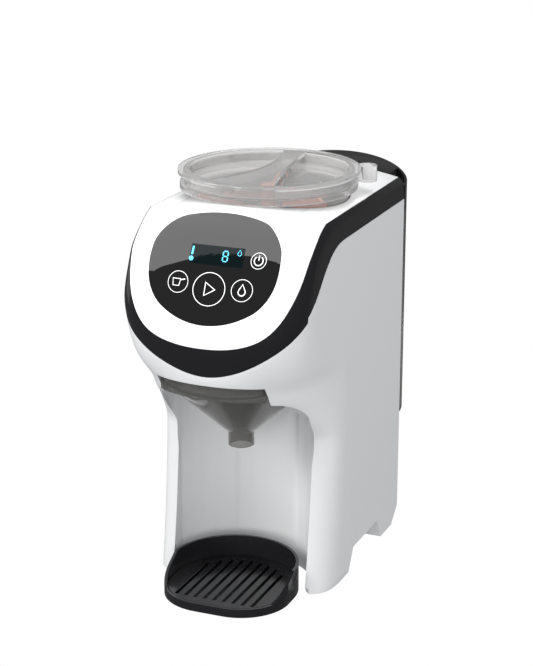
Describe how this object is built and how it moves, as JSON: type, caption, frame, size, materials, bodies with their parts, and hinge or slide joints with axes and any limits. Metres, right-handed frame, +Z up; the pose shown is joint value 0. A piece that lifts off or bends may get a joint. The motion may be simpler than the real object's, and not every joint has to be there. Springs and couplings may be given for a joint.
{
  "type": "baby formula maker",
  "caption": "Counter-top formula mixer: grey body with arched filling bay, black band, white front with touch glass, clear lidded powder tub, funnel, drip tray and rear water tank.",
  "frame": {"origin": "on the counter, under the middle of the machine", "axes": "+Z up, -Y towards the front, +X to the viewer's right"},
  "size_m": [0.159, 0.3275, 0.3448],
  "materials": {
    "white": "gloss",
    "grey": "satin",
    "black": "gloss",
    "inner_black": "matte",
    "glass": "gloss",
    "clear": "gloss",
    "smoked": "gloss",
    "coral": "satin",
    "rubber": "matte",
    "steel": "satin",
    "board": "satin",
    "bronze": "satin",
    "hose": "satin",
    "nylon": "satin"
  },
  "bodies": {
    "housing": {"body_shell": "grey", "trim_band": "black", "fascia": "white", "touch_glass": "glass", "top_carrier": "inner_black", "control_board": "board", "display_module": "inner_black", "base_plate": "inner_black", "base_screws": "steel", "rubber_feet": "rubber", "deck_plate": "nylon", "shaft_bush": "bronze", "gear_motor": "steel", "motor_bracket": "steel", "funnel_rails": "nylon", "powder_chute": "nylon", "water_nozzle": "nylon", "tank_dock": "inner_black", "water_pump": "inner_black", "water_heater": "steel", "feed_hose": "hose", "rising_hose": "hose", "power_board": "board", "board_stands": "nylon", "power_inlet": "inner_black"},
    "motor_drive": {"motor_spindle": "steel", "motor_pinion": "nylon"},
    "gear_drive": {"drive_gear": "nylon", "drive_shaft": "steel"},
    "tub": {"powder_tub": "clear"},
    "tub_cover": {"tub_lid": "clear"},
    "mixer": {"metering_wheel": "nylon", "agitator": "coral"},
    "funnel": {"mixing_funnel": "smoked"},
    "tray": {"drip_tray": "black"},
    "grid": {"drip_grid": "black"},
    "tank": {"water_tank": "smoked", "float_rod": "smoked"},
    "tank_cover": {"tank_lid": "black", "hinge_pin": "steel"},
    "valve": {"tank_valve": "rubber"},
    "float": {"level_float": "nylon"}
  },
  "joints": [
    {"name": "tub_lift", "type": "slide", "parent": "housing", "child": "tub", "axis": [0, 0, 1], "range_m": [0, 0.11]},
    {"name": "tub_lid_twist", "type": "hinge", "parent": "tub", "child": "tub_cover", "pos_m": [0, -0.0228, 0.34], "axis": [0, 0, 1], "range_deg": [0, 25]},
    {"name": "drive_spin", "type": "hinge", "parent": "housing", "child": "gear_drive", "pos_m": [0, -0.0228, 0.212], "axis": [0, 0, 1], "continuous": true},
    {"name": "motor_spin", "type": "hinge", "parent": "housing", "child": "motor_drive", "pos_m": [0, 0.0069, 0.212], "axis": [0, 0, 1], "continuous": true},
    {"name": "mixer_spin", "type": "hinge", "parent": "tub", "child": "mixer", "pos_m": [0, -0.0228, 0.24], "axis": [0, 0, 1], "continuous": true},
    {"name": "funnel_slide", "type": "slide", "parent": "housing", "child": "funnel", "axis": [0, -1, 0], "range_m": [0, 0.13]},
    {"name": "tray_slide", "type": "slide", "parent": "housing", "child": "tray", "axis": [0, -1, 0], "range_m": [0, 0.11]},
    {"name": "grid_lift", "type": "slide", "parent": "tray", "child": "grid", "axis": [0, 0, 1], "range_m": [0, 0.03]},
    {"name": "tank_lift", "type": "slide", "parent": "housing", "child": "tank", "axis": [0, 0, 1], "range_m": [0, 0.12]},
    {"name": "tank_lid_hinge", "type": "hinge", "parent": "tank", "child": "tank_cover", "pos_m": [0, 0.0996, 0.3125], "axis": [1, 0, 0], "range_deg": [0, 70]},
    {"name": "valve_slide", "type": "slide", "parent": "tank", "child": "valve", "axis": [0, 0, 1], "range_m": [0, 0.004], "stiffness_N_per_m": 150, "springref_m": -0.002},
    {"name": "float_slide", "type": "slide", "parent": "tank", "child": "float", "axis": [0, 0, 1], "range_m": [0, 0.14]}
  ],
  "couplings": [
    {"joint": "drive_spin", "follows": "mixer_spin", "ratio": 1},
    {"joint": "motor_spin", "follows": "mixer_spin", "ratio": -2}
  ]
}
